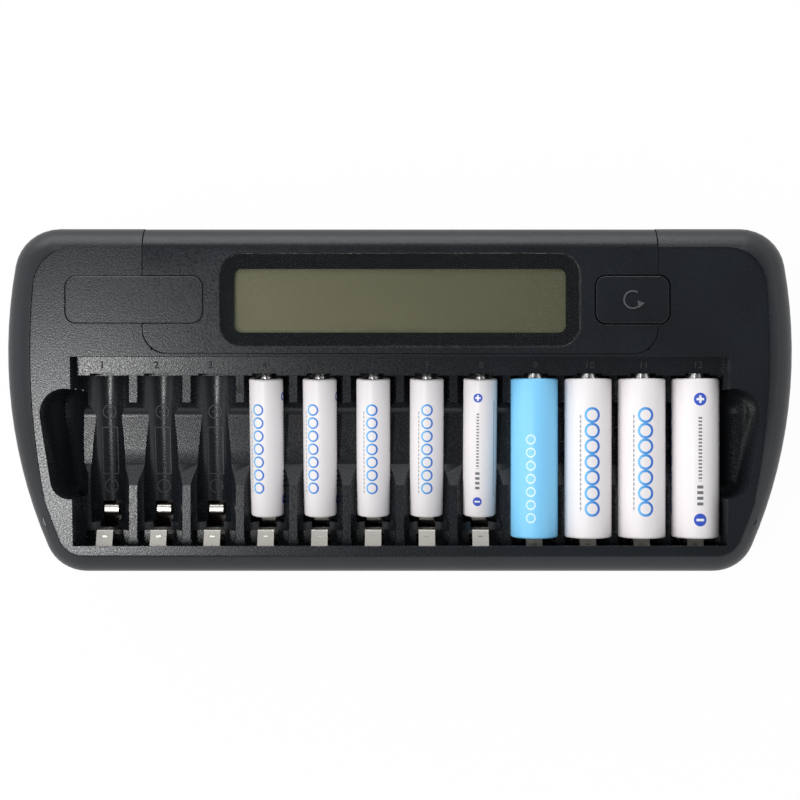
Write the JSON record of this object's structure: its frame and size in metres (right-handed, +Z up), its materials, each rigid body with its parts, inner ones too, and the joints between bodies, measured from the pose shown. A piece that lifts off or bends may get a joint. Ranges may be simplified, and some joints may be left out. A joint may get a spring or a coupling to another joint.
{
  "type": "battery charger",
  "caption": "Flat black bench charger for AA and AAA cells, with a row of sprung bays, a long display window, a refresh button and cells in most of its bays.",
  "frame": {"origin": "on the table under the middle of the case", "axes": "+X along the row of bays, +Y to the rear edge behind the display, +Z up"},
  "size_m": [0.239, 0.1044, 0.0381],
  "materials": {
    "case_plastic": "fine spark-eroded texture, satin",
    "console_plastic": "fine spark-eroded texture, satin",
    "tray_plastic": "satin moulding",
    "button_plastic": "fine texture, satin",
    "display_lens": "clear window with a printed black border, polished",
    "lcd_face": "grey-green reflective display",
    "holder_plastic": "plain moulding",
    "connector_rubber": "layered elastomer",
    "board_laminate": "brown phenolic laminate",
    "chip_epoxy": "moulded epoxy",
    "coil_ferrite": "ferrite with a wound coil",
    "capacitor_can": "sleeved can",
    "ribbon_pvc": "flat ribbon",
    "header_nylon": "nylon moulding",
    "plate_lacquer": "lacquered bare plate",
    "screw_steel": "blackened steel",
    "foot_rubber": "soft rubber",
    "contact_nickel": "nickel-plated spring strip",
    "cell_wrap_white": "shrink wrap",
    "cell_wrap_blue": "shrink wrap"
  },
  "bodies": {
    "charger": {"bottom_case": "case_plastic", "top_case": "case_plastic", "console_cover": "console_plastic", "bay_tray": "tray_plastic", "display_window": "display_lens", "lcd_panel": "lcd_face", "lcd_holder": "holder_plastic", "lcd_connector_strips": "connector_rubber", "display_board": "board_laminate", "main_board": "board_laminate", "controller_chip": "chip_epoxy", "charge_transistors": "chip_epoxy", "switch_body": "chip_epoxy", "dc_jack": "chip_epoxy", "power_inductors": "coil_ferrite", "filter_capacitors": "capacitor_can", "ribbon_cable": "ribbon_pvc", "ribbon_headers": "header_nylon", "name_plate": "plate_lacquer", "tray_screws": "screw_steel", "case_screws": "screw_steel", "board_screws": "screw_steel", "rubber_feet": "foot_rubber", "positive_contacts": "contact_nickel", "aaa_cell_04": "cell_wrap_white", "aaa_cell_05": "cell_wrap_white", "aaa_cell_06": "cell_wrap_white", "aaa_cell_07": "cell_wrap_white", "aaa_cell_08": "cell_wrap_white", "aa_cell_10": "cell_wrap_white", "aa_cell_11": "cell_wrap_white", "aa_cell_12": "cell_wrap_white", "aa_cell_09": "cell_wrap_blue"},
    "button": {"refresh_button": "button_plastic", "switch_plunger": "chip_epoxy"},
    "aa_leaf_01": {"aa_contact_01": "contact_nickel"},
    "aa_leaf_02": {"aa_contact_02": "contact_nickel"},
    "aa_leaf_03": {"aa_contact_03": "contact_nickel"},
    "aa_leaf_04": {"aa_contact_04": "contact_nickel"},
    "aa_leaf_05": {"aa_contact_05": "contact_nickel"},
    "aa_leaf_06": {"aa_contact_06": "contact_nickel"},
    "aa_leaf_07": {"aa_contact_07": "contact_nickel"},
    "aa_leaf_08": {"aa_contact_08": "contact_nickel"},
    "aa_leaf_09": {"aa_contact_09": "contact_nickel"},
    "aa_leaf_10": {"aa_contact_10": "contact_nickel"},
    "aa_leaf_11": {"aa_contact_11": "contact_nickel"},
    "aa_leaf_12": {"aa_contact_12": "contact_nickel"},
    "aaa_leaf_01": {"aaa_contact_01": "contact_nickel"},
    "aaa_leaf_02": {"aaa_contact_02": "contact_nickel"},
    "aaa_leaf_03": {"aaa_contact_03": "contact_nickel"},
    "aaa_leaf_04": {"aaa_contact_04": "contact_nickel"},
    "aaa_leaf_05": {"aaa_contact_05": "contact_nickel"},
    "aaa_leaf_06": {"aaa_contact_06": "contact_nickel"},
    "aaa_leaf_07": {"aaa_contact_07": "contact_nickel"},
    "aaa_leaf_08": {"aaa_contact_08": "contact_nickel"},
    "aaa_leaf_09": {"aaa_contact_09": "contact_nickel"},
    "aaa_leaf_10": {"aaa_contact_10": "contact_nickel"},
    "aaa_leaf_11": {"aaa_contact_11": "contact_nickel"},
    "aaa_leaf_12": {"aaa_contact_12": "contact_nickel"}
  },
  "joints": [
    {"name": "button_press", "type": "slide", "parent": "charger", "child": "button", "axis": [0, 0, -1], "range_m": [0, 0.0007], "stiffness_N_per_m": 2000, "springref_m": -0.0004},
    {"name": "aa_leaf_01_bend", "type": "hinge", "parent": "charger", "child": "aa_leaf_01", "pos_m": [-0.09075, -0.0433, 0.0087], "axis": [1, 0, 0], "range_deg": [0, 8.2], "stiffness_Nm_per_rad": 0.3},
    {"name": "aa_leaf_02_bend", "type": "hinge", "parent": "charger", "child": "aa_leaf_02", "pos_m": [-0.07425, -0.0433, 0.0087], "axis": [1, 0, 0], "range_deg": [0, 8.2], "stiffness_Nm_per_rad": 0.3},
    {"name": "aa_leaf_03_bend", "type": "hinge", "parent": "charger", "child": "aa_leaf_03", "pos_m": [-0.05775, -0.0433, 0.0087], "axis": [1, 0, 0], "range_deg": [0, 8.2], "stiffness_Nm_per_rad": 0.3},
    {"name": "aa_leaf_04_bend", "type": "hinge", "parent": "charger", "child": "aa_leaf_04", "pos_m": [-0.04125, -0.0433, 0.0087], "axis": [1, 0, 0], "range_deg": [0, 8.2], "stiffness_Nm_per_rad": 0.3},
    {"name": "aa_leaf_05_bend", "type": "hinge", "parent": "charger", "child": "aa_leaf_05", "pos_m": [-0.02475, -0.0433, 0.0087], "axis": [1, 0, 0], "range_deg": [0, 8.2], "stiffness_Nm_per_rad": 0.3},
    {"name": "aa_leaf_06_bend", "type": "hinge", "parent": "charger", "child": "aa_leaf_06", "pos_m": [-0.00825, -0.0433, 0.0087], "axis": [1, 0, 0], "range_deg": [0, 8.2], "stiffness_Nm_per_rad": 0.3},
    {"name": "aa_leaf_07_bend", "type": "hinge", "parent": "charger", "child": "aa_leaf_07", "pos_m": [0.00825, -0.0433, 0.0087], "axis": [1, 0, 0], "range_deg": [0, 8.2], "stiffness_Nm_per_rad": 0.3},
    {"name": "aa_leaf_08_bend", "type": "hinge", "parent": "charger", "child": "aa_leaf_08", "pos_m": [0.02475, -0.0433, 0.0087], "axis": [1, 0, 0], "range_deg": [0, 8.2], "stiffness_Nm_per_rad": 0.3},
    {"name": "aa_leaf_09_bend", "type": "hinge", "parent": "charger", "child": "aa_leaf_09", "pos_m": [0.04125, -0.0433, 0.0087], "axis": [1, 0, 0], "range_deg": [0, 1.4], "stiffness_Nm_per_rad": 0.3, "springref_deg": -6.8},
    {"name": "aa_leaf_10_bend", "type": "hinge", "parent": "charger", "child": "aa_leaf_10", "pos_m": [0.05775, -0.0433, 0.0087], "axis": [1, 0, 0], "range_deg": [0, 1.4], "stiffness_Nm_per_rad": 0.3, "springref_deg": -6.8},
    {"name": "aa_leaf_11_bend", "type": "hinge", "parent": "charger", "child": "aa_leaf_11", "pos_m": [0.07425, -0.0433, 0.0087], "axis": [1, 0, 0], "range_deg": [0, 1.4], "stiffness_Nm_per_rad": 0.3, "springref_deg": -6.8},
    {"name": "aa_leaf_12_bend", "type": "hinge", "parent": "charger", "child": "aa_leaf_12", "pos_m": [0.09075, -0.0433, 0.0087], "axis": [1, 0, 0], "range_deg": [0, 1.4], "stiffness_Nm_per_rad": 0.3, "springref_deg": -6.8},
    {"name": "aaa_leaf_01_bend", "type": "hinge", "parent": "charger", "child": "aaa_leaf_01", "pos_m": [-0.09075, -0.03632, 0.0087], "axis": [1, 0, 0], "range_deg": [0, 17.2], "stiffness_Nm_per_rad": 0.07},
    {"name": "aaa_leaf_02_bend", "type": "hinge", "parent": "charger", "child": "aaa_leaf_02", "pos_m": [-0.07425, -0.03632, 0.0087], "axis": [1, 0, 0], "range_deg": [0, 17.2], "stiffness_Nm_per_rad": 0.07},
    {"name": "aaa_leaf_03_bend", "type": "hinge", "parent": "charger", "child": "aaa_leaf_03", "pos_m": [-0.05775, -0.03632, 0.0087], "axis": [1, 0, 0], "range_deg": [0, 17.2], "stiffness_Nm_per_rad": 0.07},
    {"name": "aaa_leaf_04_bend", "type": "hinge", "parent": "charger", "child": "aaa_leaf_04", "pos_m": [-0.04125, -0.03632, 0.0087], "axis": [1, 0, 0], "range_deg": [0, 1.6], "stiffness_Nm_per_rad": 0.07, "springref_deg": -15.6},
    {"name": "aaa_leaf_05_bend", "type": "hinge", "parent": "charger", "child": "aaa_leaf_05", "pos_m": [-0.02475, -0.03632, 0.0087], "axis": [1, 0, 0], "range_deg": [0, 1.6], "stiffness_Nm_per_rad": 0.07, "springref_deg": -15.6},
    {"name": "aaa_leaf_06_bend", "type": "hinge", "parent": "charger", "child": "aaa_leaf_06", "pos_m": [-0.00825, -0.03632, 0.0087], "axis": [1, 0, 0], "range_deg": [0, 1.6], "stiffness_Nm_per_rad": 0.07, "springref_deg": -15.6},
    {"name": "aaa_leaf_07_bend", "type": "hinge", "parent": "charger", "child": "aaa_leaf_07", "pos_m": [0.00825, -0.03632, 0.0087], "axis": [1, 0, 0], "range_deg": [0, 1.6], "stiffness_Nm_per_rad": 0.07, "springref_deg": -15.6},
    {"name": "aaa_leaf_08_bend", "type": "hinge", "parent": "charger", "child": "aaa_leaf_08", "pos_m": [0.02475, -0.03632, 0.0087], "axis": [1, 0, 0], "range_deg": [0, 1.6], "stiffness_Nm_per_rad": 0.07, "springref_deg": -15.6},
    {"name": "aaa_leaf_09_bend", "type": "hinge", "parent": "charger", "child": "aaa_leaf_09", "pos_m": [0.04125, -0.03632, 0.0087], "axis": [1, 0, 0], "range_deg": [0, 17.2], "stiffness_Nm_per_rad": 0.07},
    {"name": "aaa_leaf_10_bend", "type": "hinge", "parent": "charger", "child": "aaa_leaf_10", "pos_m": [0.05775, -0.03632, 0.0087], "axis": [1, 0, 0], "range_deg": [0, 17.2], "stiffness_Nm_per_rad": 0.07},
    {"name": "aaa_leaf_11_bend", "type": "hinge", "parent": "charger", "child": "aaa_leaf_11", "pos_m": [0.07425, -0.03632, 0.0087], "axis": [1, 0, 0], "range_deg": [0, 17.2], "stiffness_Nm_per_rad": 0.07},
    {"name": "aaa_leaf_12_bend", "type": "hinge", "parent": "charger", "child": "aaa_leaf_12", "pos_m": [0.09075, -0.03632, 0.0087], "axis": [1, 0, 0], "range_deg": [0, 17.2], "stiffness_Nm_per_rad": 0.07}
  ]
}
